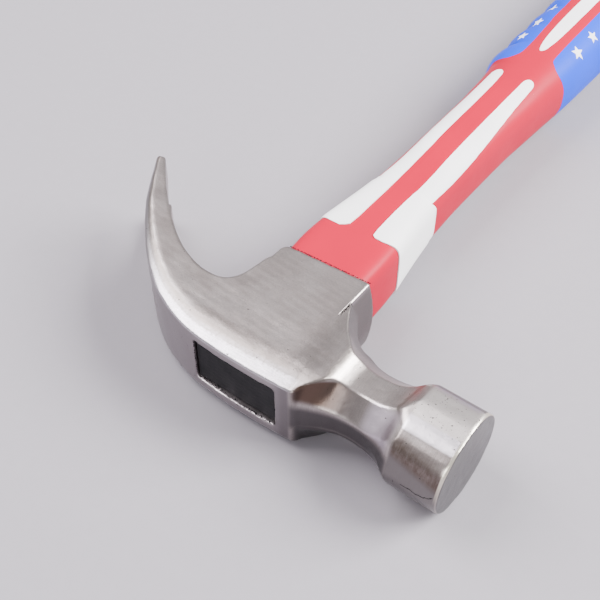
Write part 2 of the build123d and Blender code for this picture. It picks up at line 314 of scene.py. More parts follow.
def surface_of(distance, low, cell):
    """The mesh where a grid of signed distances is zero: one vertex in each cell that it crosses."""
    inside = distance < 0
    shape = np.array(distance.shape) - 1
    total = np.zeros((*shape, 3), np.float32)
    count = np.zeros(tuple(shape), np.float32)
    corners = [(i, j, k) for i in (0, 1) for j in (0, 1) for k in (0, 1)]

    def at(array, corner):
        return array[tuple(slice(c, c + n) for c, n in zip(corner, shape))]

    for axis in range(3):
        for corner in corners:
            if corner[axis]:
                continue
            other = tuple(c + (n == axis) for n, c in enumerate(corner))
            a, b = at(distance, corner), at(distance, other)
            crossed = at(inside, corner) != at(inside, other)
            share = np.where(crossed, a / np.where(crossed, a - b, 1), 0)
            for n in range(3):
                total[..., n] += np.where(crossed, corner[n] + (share if n == axis else 0), 0)
            count += crossed
    active = count > 0
    number = np.full(active.shape, -1, np.int64)
    number[active] = np.arange(active.sum())
    cells = np.argwhere(active)
    vertices = (cells + total[active] / count[active][:, None]) * cell + np.array(low)
    faces = []
    for axis in range(3):
        ahead = np.take(inside, range(1, inside.shape[axis]), axis)
        behind = np.take(inside, range(inside.shape[axis] - 1), axis)
        u, v = [n for n in range(3) if n != axis]
        for leaving in (True, False):
            edge = np.argwhere(behind & ~ahead if leaving else ahead & ~behind)
            edge = edge[(edge[:, u] > 0) & (edge[:, v] > 0)]
            edge = edge[(edge[:, u] < shape[u]) & (edge[:, v] < shape[v])]
            ring = []
            for du, dv in ((1, 1), (0, 1), (0, 0), (1, 0)):
                place = edge.copy()
                place[:, u] -= du
                place[:, v] -= dv
                ring.append(number[tuple(place.T)])
            quad = np.stack(ring, 1)
            turned = (axis == 1) == leaving
            faces.append(quad[:, ::-1] if turned else quad)
    return vertices, np.vstack(faces)


def new_object(name, vertices, faces, sharp_angle=None):
    """A mesh object at the origin, from points in millimetres in the hammer's own axes."""
    mesh = bpy.data.meshes.new(name)
    points = (np.asarray(vertices, float) + np.array(OFFSET)) * MM
    mesh.from_pydata(points.tolist(), [], [list(map(int, f)) for f in faces])
    mesh.validate()
    if sharp_angle is None:
        mesh.polygons.foreach_set("use_smooth", [True] * len(mesh.polygons))
    else:
        mesh.shade_smooth()
        mesh.set_sharp_from_angle(angle=math.radians(sharp_angle))
    piece = bpy.data.objects.new(name, mesh)
    bpy.context.scene.collection.objects.link(piece)
    return piece


def crumbs(line, count, size, seed):
    """Tiny irregular fragments scattered along a line of points: vertices and triangles."""
    rng = np.random.default_rng(seed)
    line = np.asarray(line, float)
    body = bmesh.new()
    bmesh.ops.create_icosphere(body, subdivisions=1, radius=1.0)
    shape = np.array([v.co[:] for v in body.verts])
    triangles = np.array([[v.index for v in f.verts] for f in body.faces])
    body.free()
    vertices, faces = [], []
    for _ in range(count):
        place = rng.uniform(0, len(line) - 1.001)
        i = int(place)
        middle = line[i] + (line[i + 1] - line[i]) * (place - i) + rng.normal(0, size * 0.35, 3)
        stretch = size * rng.uniform(0.35, 1.0, 3)
        lumps = shape * rng.uniform(0.6, 1.25, (len(shape), 1)) * stretch
        faces.append(triangles + len(vertices) * len(shape))
        vertices.append(middle + lumps)
    return np.vstack(vertices), np.vstack(faces)


def eye_edge(side):
    """The eye's long edge on one cheek's side, where it meets the crown."""
    return [(x, -0.95 + 0.012 * (x - 6) ** 2 / 3, side * 7.35) for x in np.linspace(-12.4, 12.4, 14)]


def make_head():
    low = np.array([-64.5, -2.8, -14.4])
    high = np.array([58.6, 44.0, 14.4])
    axes = [np.arange(a, b, CELL) for a, b in zip(low, high)]
    x, y, z = np.meshgrid(*axes, indexing="ij")
    distance = head_distance(x, y, z)
    vertices, faces = surface_of(distance, low, CELL)
    piece = new_object("head_forging", vertices, faces)
    burrs = [crumbs(eye_edge(-1), 46, 0.20, 61), crumbs(eye_edge(1), 16, 0.12, 62),
             crumbs([(7.0, 37.0, 11.4), (13.2, 37.35, 11.32)], 12, 0.13, 63)]
    loose = [new_object("burr", *burr, sharp_angle=30) for burr in burrs]
    return join([piece] + loose, "head_forging_with_burrs")


# ---------------------------------------------------------------- the handle
# By y: how far the handle reaches towards the face and the claw, half its thickness, and how square its
# section is.
REACH_FACE = [(35, 12.0), (46, 11.95), (52, 11.7), (60, 10.8), (68, 9.85), (76, 9.2), (90, 9.0), (105, 9.2),
              (120, 9.6), (130, 10.3), (140, 11.0), (148, 11.7), (157, 12.4), (170, 12.95), (180, 13.3),
              (285, 14.2), (303, 16.2), (314, 16.6)]
REACH_CLAW = [(35, 12.2), (40, 12.8), (46, 13.15), (52, 13.0), (60, 12.5), (68, 11.8), (76, 11.3),
              (90, 11.2), (105, 11.3), (120, 11.3), (130, 11.7), (138, 12.2), (143, 12.8), (156, 13.2),
              (180, 13.3), (285, 13.7), (303, 16.6), (314, 17.0)]
THICKNESS = [(35, 10.1), (49, 10.0), (60, 9.7), (76, 9.2), (90, 9.0), (105, 9.1), (125, 9.8), (140, 10.8),
             (157, 11.6), (180, 12.0), (285, 12.4), (303, 12.85), (314, 12.85)]
SQUARENESS = [(35, 6.5), (49, 6.0), (60, 4.8), (76, 4.0), (90, 3.6), (105, 3.4), (125, 3.0), (140, 2.7),
              (157, 2.45), (180, 2.35), (300, 2.5)]
BUTT_START, BUTT_END = 314.0, 323.7
BUMP_START, BUMP_PITCH, BUMP_COUNT = 143.2, 12.9, 11
INLAY_DEPTH = 1.2
HANDLE_START = 35.0
JOINT_GAP = 0.35
RING_POINTS = 144
RING_STEP = 0.7
# How far cutters stand above and below the mirror plane, past every surface of the handle.
CUTTER_REACH = 20.0


def bump_height(y):
    """How far the finger bumps stand off the claw side: round backs with sharp notches between them."""
    place = (y - BUMP_START) / BUMP_PITCH
    if not 0 < place < BUMP_COUNT:
        return 0.0
    phase = 2 * (place - math.floor(place)) - 1
    return 1.75 * (0.6 * math.sqrt(1 - phase ** 2) + 0.4 * (1 - phase ** 2))


def handle_ring(y, inset):
    """One ring of the handle's surface."""
    turn = np.linspace(0, 2 * math.pi, RING_POINTS, endpoint=False)
    power = 2 / float(smooth_through(y, SQUARENESS))
    c, s = np.cos(turn), np.sin(turn)
    across = np.sign(c) * np.abs(c) ** power
    up = np.sign(s) * np.abs(s) ** power
    ease = 1.0
    if y > BUTT_START:
        share = (y - BUTT_START) / (BUTT_END + 1.2 - BUTT_START)
        ease = math.sqrt(max(0.0, 1 - share ** 2.6))
    face = float(smooth_through(y, REACH_FACE)) * ease - inset
    claw = float(smooth_through(y, REACH_CLAW)) * ease - inset + (0 if inset > 1 else bump_height(y))
    thick = float(smooth_through(y, THICKNESS)) * ease - inset
    x = np.where(across > 0, across * face, across * claw)
    return np.stack([x, np.full(RING_POINTS, y), up * thick], 1)


def handle_solid(name, inset=0.0, flare=0.0):
    """The whole handle, shrunk by inset, and standing a little proud where the white flares wrap it."""
    count = RING_POINTS
    rows = list(np.arange(HANDLE_START, BUTT_END - abs(inset), RING_STEP))
    rings = []
    for y in rows + [BUTT_END - abs(inset)]:
        proud = flare * float(smooth_through(y, [(50.5, 0.15), (54, 1.0), (73.4, 1.0), (75.4, 0.0)]))
        rings.append(handle_ring(y, inset - proud))
    vertices = np.vstack(rings)
    faces = []
    for r in range(len(rings) - 1):
        for i in range(count):
            j = (i + 1) % count
            faces.append((r * count + i, r * count + j, (r + 1) * count + j, (r + 1) * count + i))
    faces.append(tuple(range(count)))
    last = (len(rings) - 1) * count
    faces.append(tuple(reversed(range(last, last + count))))
    piece = new_object(name, vertices, faces)
    recalculate(piece)
    return piece


def recalculate(piece):
    """Turns every face outwards."""
    mesh = bmesh.new()
    mesh.from_mesh(piece.data)
    bmesh.ops.recalc_face_normals(mesh, faces=mesh.faces)
    mesh.to_mesh(piece.data)
    mesh.free()


def ragged(points, seed, size=0.05):
    """The same outline with the slight unevenness of a moulding's edge."""
    points = np.asarray(points, float)
    wobble_x = waves(points[:, 0], points[:, 1], 0 * points[:, 0], 5.0, seed)
    wobble_y = waves(points[:, 0], points[:, 1], 0 * points[:, 0], 4.0, seed + 1)
    return points + size * np.stack([wobble_x, wobble_y], 1)


def prism(outline, low=-CUTTER_REACH, high=CUTTER_REACH):
    """A plan outline made solid between two heights, to cut with."""
    outline = np.asarray(outline, float)
    n = len(outline)
    bottom = np.column_stack([outline, np.full(n, low)])
    top = np.column_stack([outline, np.full(n, high)])
    faces = [tuple(range(n)), tuple(range(n, 2 * n))]
    faces += [(i, (i + 1) % n, n + (i + 1) % n, n + i) for i in range(n)]
    piece = new_object("cutter", np.vstack([bottom, top]), faces)
    recalculate(piece)
    return piece


def combine(piece, other, operation, keep_other=False):
    """Cuts, joins or intersects piece with other, in place."""
    modifier = piece.modifiers.new("combine", "BOOLEAN")
    modifier.object = other
    modifier.operation = operation
    modifier.solver = "MANIFOLD"
    bpy.context.view_layer.update()
    evaluated = piece.evaluated_get(bpy.context.evaluated_depsgraph_get())
    mesh = bpy.data.meshes.new_from_object(evaluated)
    piece.modifiers.clear()
    piece.data = mesh
    if not keep_other:
        bpy.data.objects.remove(other)
    return piece


def copy_of(piece, name):
    copy = bpy.data.objects.new(name, piece.data.copy())
    bpy.context.scene.collection.objects.link(copy)
    return copy


# Plan outlines. Each fork: its outer edge, its inner edge back up, and both ends of its wrap.
FORKS = {
    "face": (
        [(8.1, 75.2), (8.1, 85.0), (7.9, 96.0), (7.6, 104.0), (7.0, 115.0), (6.5, 125.0), (6.3, 135.4)],
        [(2.7, 135.2), (2.4, 126.0), (2.2, 110.0), (2.4, 94.0), (3.0, 80.0), (3.0, 66.0), (3.3, 56.0)],
        [(3.6, 53.2), (4.6, 52.6), (7.0, 52.6), (9.0, 53.1), (11.2, 54.0), (24, 54.0)],
        [(24, 73.6), (12.0, 73.8), (10.0, 76.2), (9.0, 76.8)],
    ),
    "claw": (
        [(-9.5, 76.2), (-9.0, 85.0), (-9.2, 96.0), (-9.3, 108.0), (-8.9, 119.0), (-8.5, 129.0),
         (-8.3, 135.4)],
        [(-4.5, 135.6), (-4.4, 128.0), (-4.7, 106.0), (-4.4, 94.0), (-4.1, 83.0), (-3.8, 70.0),
         (-3.7, 57.0)],
        [(-3.9, 53.2), (-4.8, 52.2), (-6.0, 51.3), (-9.0, 51.4), (-12.0, 52.0), (-24, 52.0)],
        [(-24, 75.6), (-12.0, 75.8), (-10.6, 76.6)],
    ),
}
PADS = {
    "face": [(24, 147.0), (14.0, 147.0), (12.2, 149.2), (11.0, 148.9), (9.6, 148.6), (7.9, 148.9),
             (6.4, 150.0), (5.4, 151.2), (5.1, 153.6), (5.0, 160.0), (5.0, 176.0), (5.0, 230.0),
             (5.0, 281.0), (6.2, 287.5), (10.0, 290.5), (24, 291.0)],
    "claw": [(-24, 141.0), (-12.6, 142.2), (-11.3, 144.2), (-9.2, 144.9), (-7.6, 145.6), (-6.2, 147.2),
             (-5.2, 149.4), (-4.9, 153.0), (-5.1, 160.0), (-5.7, 170.0), (-6.2, 180.0), (-6.3, 230.0),
             (-6.3, 281.0), (-7.2, 287.5), (-10.4, 290.5), (-24, 291.0)],
}
STRIPE_TIP = [(-3.0, 182.0), (-2.8, 172.0), (-2.5, 164.0), (-2.1, 159.5), (-1.4, 155.4), (-0.5, 153.2),
              (0.7, 154.4), (1.2, 157.6), (1.6, 162.0), (1.8, 170.0), (1.9, 182.0)]
STRIPE_END = 288.0
# The first star of each row, x and y, and how much its width is narrowed on the sloping side.
STARS = {"face": (8.6, 162.0, 0.82), "claw": (-10.0, 159.85, 0.66)}
STAR_COUNT, STAR_PITCH, STAR_RADIUS, STAR_WAIST = 11, 10.75, 2.45, 0.45


def fork_outline(side):
    outer, inner, front, wrap_end = FORKS[side]
    middle = (outer[-1][0] + inner[0][0]) / 2
    reach = abs(outer[-1][0] - inner[0][0]) / 2
    way = 1 if side == "face" else -1
    turns = np.linspace(0.3, math.pi - 0.3, 9)
    tip = [(middle + way * reach * math.cos(a), 136.0 + 2.7 * math.sin(a)) for a in turns]
    outline = np.vstack([curve_through(outer, 8), tip, curve_through(inner, 8), front, wrap_end])
    return ragged(outline, 11 if side == "face" else 17)


def pad_outline(side):
    edge = curve_through(PADS[side][1:-1], 6)
    outline = np.vstack([PADS[side][:1], edge, PADS[side][-1:]])
    return ragged(outline, 23 if side == "face" else 29)


def stripe_outline():
    left, right = STRIPE_TIP[0], STRIPE_TIP[-1]
    radius = (right[0] - left[0]) / 2
    middle, last = left[0] + radius, STRIPE_END - radius
    down = [(right[0], y) for y in np.arange(188.0, last, 4.0)]
    turns = np.linspace(0, math.pi, 15)
    end = [(middle + radius * math.cos(a), last + radius * math.sin(a)) for a in turns]
    back = [(left[0], y) for y in np.arange(188.0, last, 4.0)[::-1]]
    return ragged(np.vstack([curve_through(STRIPE_TIP, 5), down, end, back]), 31)


def star_outline(x, y, radius, across, turn):
    points = []
    for i in range(10):
        reach = radius if i % 2 == 0 else radius * STAR_WAIST
        angle = turn + math.pi / 2 + i * math.pi / 5
        points.append((x + across * reach * math.cos(angle), y + reach * math.sin(angle)))
    return points


def star_row(side):
    """The outlines of one row of stars, each placed and turned a little differently."""
    rng = np.random.default_rng(7 if side == "face" else 8)
    first_x, first_y, across = STARS[side]
    row = []
    for i in range(STAR_COUNT):
        x = first_x + rng.uniform(-0.15, 0.15)
        y = first_y + STAR_PITCH * i + rng.uniform(-0.2, 0.2)
        radius = STAR_RADIUS * rng.uniform(0.95, 1.06)
        row.append(star_outline(x, y, radius, across, rng.uniform(-0.3, 0.3)))
    return row


def make_handle():
    """Every moulding of the handle, cut from forms so alike that each lies almost flush with the next."""
    pieces = {"grip_sleeve": trim_start(handle_solid("grip_sleeve_moulding"))}
    inner = handle_solid("inner_form", INLAY_DEPTH)
    forms = {
        "white": trim_start(handle_solid("form_white", -0.05, flare=0.28)),
        "blue": trim_start(handle_solid("form_blue", -0.03)),
        "star": trim_start(handle_solid("form_star", -0.07)),
    }

    def inlay(name, form, outline, low=-CUTTER_REACH, high=CUTTER_REACH):
        piece = copy_of(forms[form], name)
        combine(piece, prism(outline, low, high), "INTERSECT")
        return combine(piece, inner, "DIFFERENCE", keep_other=True)

    for side in ("claw", "face"):
        pieces[f"white_fork_{side}_side"] = inlay(f"fork_{side}_side", "white", fork_outline(side))
        pad = inlay(f"pad_{side}_side", "blue", pad_outline(side))
        stars = []
        for n, outline in enumerate(star_row(side)):
            stars.append(inlay(f"star_{side}_{n}", "star", outline))
            combine(pad, prism(outline), "DIFFERENCE")
        pieces[f"blue_pad_{side}_side"] = pad
        pieces[f"stars_{side}_side"] = join(stars, f"stars_on_{side}_side")
    pieces["grip_stripe_upper"] = inlay("stripe_upper", "white", stripe_outline(), low=0.0)
    pieces["grip_stripe_lower"] = inlay("stripe_lower", "white", stripe_outline(), high=0.0)
    for outline in (fork_outline("claw"), fork_outline("face"), pad_outline("claw"), pad_outline("face"),
                    stripe_outline()):
        hole = trim_start(handle_solid("hole", -0.5))
        combine(hole, prism(outline), "INTERSECT")
        combine(hole, inner, "DIFFERENCE", keep_other=True)
        combine(pieces["grip_sleeve"], hole, "DIFFERENCE")
    for form in list(forms.values()) + [inner]:
        bpy.data.objects.remove(form)
    for piece in pieces.values():
        piece.data.shade_smooth()
        piece.data.set_sharp_from_angle(angle=math.radians(38))
    return pieces


def trim_start(piece):
    """Trims the handle's start to the slanted joint under the skirt."""
    normal = Vector((-math.sin(SLANT), math.cos(SLANT), 0))
    mesh = bmesh.new()
    mesh.from_mesh(piece.data)
    geometry = mesh.verts[:] + mesh.edges[:] + mesh.faces[:]
    start = to_frame(JOINT_X, JOINT_Y + JOINT_GAP, 0)
    cut = bmesh.ops.bisect_plane(mesh, geom=geometry, plane_co=start, plane_no=normal, clear_inner=True)
    edges = [e for e in cut["geom_cut"] if isinstance(e, bmesh.types.BMEdge)]
    bmesh.ops.edgenet_fill(mesh, edges=edges)
    bmesh.ops.recalc_face_normals(mesh, faces=mesh.faces)
    mesh.to_mesh(piece.data)
    mesh.free()
    return piece


def join(pieces, name):
    """One object from several, which are removed."""
    mesh = bmesh.new()
    for piece in pieces:
        mesh.from_mesh(piece.data)
        bpy.data.objects.remove(piece)
    data = bpy.data.meshes.new(name)
    mesh.to_mesh(data)
    mesh.free()
    joined = bpy.data.objects.new(name, data)
    bpy.context.scene.collection.objects.link(joined)
    return joined


# ---------------------------------------------------------------- the resin in the eye
def make_resin():
    """The black filling: a slightly uneven top a little below the crown, and open at the claw end."""
    nx, nz = 90, 52
    us = np.linspace(-1, 1, nx)
    vs = np.linspace(-1, 1, nz)
    wall_gap = 0.03
    vertices, faces = [], []
    grid = {}

    def outline_point(u, v, y):
        half_x, half_z = eye_half_widths(y)
        at_claw_end = 0.55 if u < -0.98 else 0.0
        return u * (half_x - wall_gap) + at_claw_end, v * (half_z - wall_gap)

    for i, u in enumerate(us):
        for j, v in enumerate(vs):
            edge = max(abs(u), abs(v))
            x, z = outline_point(u, v, 0.3)
            dip = 0.28 + 0.10 * waves(x, z, 0 * x, 7.0, 41) + 0.03 * waves(x, z, 0 * x, 1.2, 42)
            y = dip + (0.25 if edge > 0.985 else 0.0)
            grid[i, j] = len(vertices)
            vertices.append((x, y, z))
    for i in range(nx - 1):
        for j in range(nz - 1):
            faces.append((grid[i, j], grid[i, j + 1], grid[i + 1, j + 1], grid[i + 1, j]))
    rim = [(i, 0) for i in range(nx)] + [(nx - 1, j) for j in range(1, nz)]
    rim += [(i, nz - 1) for i in range(nx - 2, -1, -1)] + [(0, j) for j in range(nz - 2, 0, -1)]
    previous = [grid[p] for p in rim]
    for y in (2.0, RESIN_END_Y):
        ring = []
        for i, j in rim:
            x, z = outline_point(us[i], vs[j], y)
            ring.append(len(vertices))
            vertices.append((x, y, z))
        n = len(rim)
        for k in range(n):
            faces.append((previous[k], previous[(k + 1) % n], ring[(k + 1) % n], ring[k]))
        previous = ring
    faces.append(tuple(previous))
    piece = new_object("resin_in_eye", vertices, faces, sharp_angle=40)
    recalculate(piece)
    edge = [(x, y + 0.35, z) for x, y, z in eye_edge(-1)]
    end = [(-12.5, -0.5, z) for z in np.linspace(-7.0, 7.0, 8)]
    scraps = [crumbs(edge, 60, 0.28, 71), crumbs(end, 22, 0.24, 72),
              crumbs([(-10.6, 35.95, 11.2), (1, 36.72, 11.22), (13.4, 37.45, 11.15)], 260, 0.17, 73)]
    loose = [new_object("scrap", *scrap, sharp_angle=30) for scrap in scraps]
    return join([piece] + loose, "resin_with_scraps")


# ---------------------------------------------------------------- materials
class Graph:
    """A new material and its nodes. A value is a number, a color or the output of another node.
    The tone is the base color, built up in layers."""

    def __init__(self, name):
        self.material = bpy.data.materials.new(name)
        self.material.use_nodes = True
        self.nodes = self.material.node_tree.nodes
        self.shader = self.nodes["Principled BSDF"]
        self.tone = None

    def feed(self, socket, value):
        """Sets a socket to a number or a color, or links another node's output to it."""
        if isinstance(value, tuple):
            socket.default_value = (*value, 1)
        elif isinstance(value, (float, int)):
            socket.default_value = value
        else:
            self.material.node_tree.links.new(value, socket)

    def shade(self, name, value):
        self.feed(self.shader.inputs[name], value)

    def space(self, scale=(1, 1, 1)):
        """Coordinates in the hammer's own axes, in millimetres, optionally stretched."""
        coordinates = self.nodes.new("ShaderNodeTexCoord")
        node = self.nodes.new("ShaderNodeMapping")
        node.inputs["Scale"].default_value = tuple(n / MM for n in scale)
        node.inputs["Location"].default_value = tuple(-a * n for a, n in zip(OFFSET, scale))
        self.feed(node.inputs["Vector"], coordinates.outputs["Object"])
        return node.outputs["Vector"]

    def noise(self, source, scale, detail=3.0, roughness=0.5):
        node = self.nodes.new("ShaderNodeTexNoise")
        self.feed(node.inputs["Vector"], source)
        self.feed(node.inputs["Scale"], scale)
        self.feed(node.inputs["Detail"], detail)
        self.feed(node.inputs["Roughness"], roughness)
        return node.outputs["Fac"]

    def ramp(self, source, stops):
        """A number or color that changes evenly from one (place, value) stop to the next."""
        node = self.nodes.new("ShaderNodeValToRGB")
        elements = node.color_ramp.elements
        while len(elements) < len(stops):
            elements.new(0.5)
        for element, (place, value) in zip(elements, stops):
            element.position = place
            element.color = (*value, 1) if isinstance(value, tuple) else (value, value, value, 1)
        self.feed(node.inputs["Fac"], source)
        return node.outputs["Color"]

    def rises(self, value, start, end, shape="SMOOTHSTEP"):
        """0 before start and 1 after end, with a smooth or even rise between."""
        node = self.nodes.new("ShaderNodeMapRange")
        node.interpolation_type = shape
        self.feed(node.inputs["Value"], value)
        self.feed(node.inputs["From Min"], start)
        self.feed(node.inputs["From Max"], end)
        return node.outputs["Result"]

    def within(self, value, low, high, soft):
        """1 between low and high, fading to 0 over a soft edge outside them."""
        up = self.rises(value, low - soft, low)
        down = self.rises(value, high + soft, high)
        return self.product(up, down)

    def mix(self, share, a, b, mode="MIX"):
        node = self.nodes.new("ShaderNodeMix")
        node.data_type = "RGBA"
        node.blend_type = mode
        self.feed(node.inputs["Factor"], share)
        self.feed(node.inputs[6], a)
        self.feed(node.inputs[7], b)
        return node.outputs[2]

    def calculate(self, operation, a, b=0.0):
        node = self.nodes.new("ShaderNodeMath")
        node.operation = operation
        self.feed(node.inputs[0], a)
        self.feed(node.inputs[1], b)
        return node.outputs[0]

    def product(self, *values):
        total = values[0]
        for value in values[1:]:
            total = self.calculate("MULTIPLY", total, value)
        return total

    def paint(self, color, *shares):
        """Lays a color over the tone, as strongly as the product of the shares."""
        self.tone = self.mix(self.product(*shares), self.tone, color)

    def darken(self, source, stops):
        """Multiplies the tone by a ramp of the source."""
        self.tone = self.mix(1.0, self.tone, self.ramp(source, stops), "MULTIPLY")

    def emboss(self, *layers):
        """Bump from (height, distance in metres, strength) layers, each on top of the one before."""
        normal = None
        for height, distance, strength in layers:
            node = self.nodes.new("ShaderNodeBump")
            self.feed(node.inputs["Height"], height)
            self.feed(node.inputs["Distance"], distance)
            self.feed(node.inputs["Strength"], strength)
            if normal is not None:
                self.feed(node.inputs["Normal"], normal)
            normal = node.outputs["Normal"]
        self.shade("Normal", normal)


class Steel(Graph):
    """Ground steel. A zone is a product of soft limits on x, y, z, the height over the mirror plane, the
    level (the height less the claw's widening) or the angle around the poll's axis, in radians from +y."""

    def __init__(self):
        super().__init__("ground_steel")
        self.plain = self.space()
        separate = self.nodes.new("ShaderNodeSeparateXYZ")
        self.feed(separate.inputs[0], self.plain)
        self.x, self.y, self.z = separate.outputs
        self.height = self.calculate("ABSOLUTE", self.z)
        self.forward = self.calculate("SUBTRACT", self.y, AXIS_Y)
        self.angle = self.calculate("ARCTAN2", self.height, self.forward)
        widening = self.rises(self.x, SPREAD_START, CLAW_END, "LINEAR")
        self.level = self.calculate("SUBTRACT", self.height, self.product(widening, CLAW_SPREAD - CHEEK))
        self.upper = self.rises(self.z, -1.0, 1.0)
        self.on_poll = self.product(self.rises(self.x, 42.6, 43.6), self.rises(self.x, 56.75, 56.45))
        self.wobble = self.noise(self.plain, 0.45)
        self.grain = self.noise(self.plain, 2.6, 5.0, 0.7)
        lengthwise = self.noise(self.space((0.22, 6.5, 6.5)), 1.0, 4.0, 0.6)
        crosswise = self.noise(self.space((6.5, 0.30, 0.30)), 1.0, 4.0, 0.6)
        self.lines = self.mix(self.rises(self.x, 14.5, 17.5), lengthwise, crosswise)

    def start_tone(self):
        """Blotched and brushed steel, with painted shade along x that leaves the half of the cheek nearer
        the neck brightest.
        """
        blotch = self.noise(self.plain, 0.11, 5.0, 0.6)
        self.tone = self.ramp(blotch, [
            (0.34, (0.48, 0.418, 0.400)), (0.52, (0.555, 0.492, 0.474)), (0.70, (0.60, 0.540, 0.524)),
        ])
        # Painted shade along x: darker towards the claw, and darkest in a dip where the cheek meets the
        # neck.
        self.darken(self.rises(self.x, CLAW_END, FACE_X, "LINEAR"), [
            (0.0, 0.85), (0.15, 0.90), (0.33, 0.82), (0.44, 0.90), (0.54, 1.0), (0.61, 1.0), (0.655, 0.66),
            (0.70, 0.78),
        ])
        self.darken(self.lines, [(0.30, 0.80), (0.62, 1.0)])
        self.darken(self.grain, [(0.32, 0.82), (0.60, 1.0)])

    def paint_crown_and_bevel(self):
        """Painted shade on the crown and along the bevel's edge, a brighter bevel with painted shade on the
        claw, and dark flecks where it runs out.
        """
        x, y, level = self.x, self.y, self.level
        on_claw = self.rises(x, -20.0, -44.0)
        crown = self.calculate("MAXIMUM", self.rises(y, 40.0, 20.0), on_claw)
        # Painted shade on the crown's outer face, darker still near the neck.
        outer = self.product(self.rises(level, 10.0, 9.7), self.rises(y, 30.0, 16.0),
                             self.rises(x, 17.0, 16.0))
        self.paint((0.32, 0.287, 0.302), outer, 0.85)
        self.paint((0.15, 0.133, 0.138), self.product(outer, self.rises(x, 11.0, 15.5)), 0.85)
        bevel = self.product(self.within(level, 9.6, 10.86, 0.20), crown, self.rises(x, 18.5, 14.0))
        bright = self.ramp(self.grain, [(0.30, (0.44, 0.41, 0.44)), (0.62, (0.66, 0.62, 0.66))])
        bright = self.mix(1.0, bright, self.ramp(self.lines, [(0.30, 0.74), (0.60, 1.0)]), "MULTIPLY")
        # Painted shade: the bevel is made darker on the claw.
        bright = self.mix(on_claw, bright, (0.31, 0.287, 0.296))
        self.paint(bright, bevel)
        flecks = self.ramp(self.noise(self.plain, 1.3, 5.0, 0.75), [(0.48, 0.0), (0.58, 0.6)])
        self.paint((0.19, 0.16, 0.145), self.within(level, 10.62, 11.13, 0.14), flecks, crown)
        # Painted shade in a band along the bevel's edge with the cheek.
        self.paint((0.20, 0.175, 0.16), self.within(level, 10.74, 11.15, 0.12), crown, 0.66)

    def paint_cheek_edges(self):
        """Painted shade: duller bands along the cheek's upper end and on its end towards the neck."""
        shade_patches = self.ramp(self.grain, [(0.36, 0.85), (0.60, 0.45)])
        # Painted shade: a patchy band along the cheek's upper end.
        self.paint((0.23, 0.198, 0.185), self.within(self.y, 3.6, 6.2, 1.4),
                   self.within(self.x, -14.0, 16.5, 6.0), self.rises(self.height, 10.8, 11.0), shade_patches)
        # Painted shade on the cheek's end towards the neck.
        self.paint((0.25, 0.222, 0.212), self.within(self.x, 13.5, 18.0, 2.0),
                   self.rises(self.y, 18.0, 11.0), self.rises(self.height, 10.6, 10.9), 0.55)

    def paint_dark_sides(self):
        """Painted shade on the skirt's narrow side and the neck's front and lower facets, much darker than
        the cheek.
        """
        x = self.x
        side = self.product(self.rises(x, 13.25, 13.75), self.rises(self.y, 19.0, 22.0),
                            self.rises(self.height, 11.3, 11.0))
        # Painted shade on the skirt's narrow side.
        self.paint((0.175, 0.155, 0.150), side, 0.95)
        front = self.product(self.within(x, 17.5, 42.0, 2.0), self.rises(self.angle, 2.68, 2.95))
        lower = self.product(self.within(x, 18.5, 42.0, 2.0), self.rises(self.angle, 1.9, 2.2),
                             self.rises(self.z, -1.0, -3.5))
        # Painted shade on the neck's front and lower facets.
        self.paint((0.085, 0.077, 0.080), self.calculate("MAXIMUM", front, lower), 0.95)

    def paint_neck(self):
        """Painted shade on the sloping facet in front of the neck's ridge, brown at its root, and a lilac
        tint towards the poll.
        """
        x, angle, upper = self.x, self.angle, self.upper
        root = self.product(self.rises(x, 16.8, 18.4), self.rises(x, 30.0, 21.0), upper)
        bend = self.product(self.calculate("MINIMUM", x, 24.4), 0.063)
        from_ridge = self.calculate("ADD", angle, bend)
        sloping = self.product(self.rises(from_ridge, 3.49, 3.56), self.rises(angle, 2.78, 2.60), upper)
        dim = self.product(sloping, self.rises(x, 16.8, 18.4), self.rises(x, 37.0, 27.0))
        # Painted shade on the sloping facet in front of the ridge.
        self.paint((0.10, 0.084, 0.082), dim, 0.85)
        self.paint((0.085, 0.052, 0.038), sloping, root, 0.85)
        lilac = self.product(self.within(x, 35.0, 40.0, 3.0), self.within(angle, 2.05, 2.62, 0.2))
        self.paint((0.66, 0.58, 0.66), lilac, 0.75)

    def paint_poll(self):
        """A painted highlight on a strip of the poll, painted shade on its grey front, and a brown band
        that slants across between them.
        """
        # Painted highlight: a light strip on the poll's front-top facet.
        highlight_strip = self.product(self.on_poll, self.within(self.angle, 1.86, 2.12, 0.06), self.upper)
        self.paint((0.72, 0.67, 0.72), highlight_strip, 0.8)
        sloped = self.calculate("SUBTRACT", self.angle, self.product(self.x, 0.018))
        # Painted shade on the poll's grey front.
        grey = self.product(self.on_poll, self.rises(sloped, 1.70, 1.90))
        self.paint((0.15, 0.138, 0.138), grey, 0.9)
        mottled = self.noise(self.space((1.3, 0.5, 0.5)), 1.0, 5.0, 0.7)
        band = self.product(self.on_poll, self.rises(sloped, 1.26, 1.66), self.rises(sloped, 1.98, 1.78),
                            self.upper, self.ramp(mottled, [(0.34, 0.74), (0.62, 1.0)]))
        self.paint((0.105, 0.078, 0.066), band, 0.95)

    def paint_ends(self):
        """The claw's tips, a painted highlight on the poll's rim, and the striking face."""
        self.paint((0.24, 0.18, 0.15), self.rises(self.x, -58.5, -62.0), 0.6)
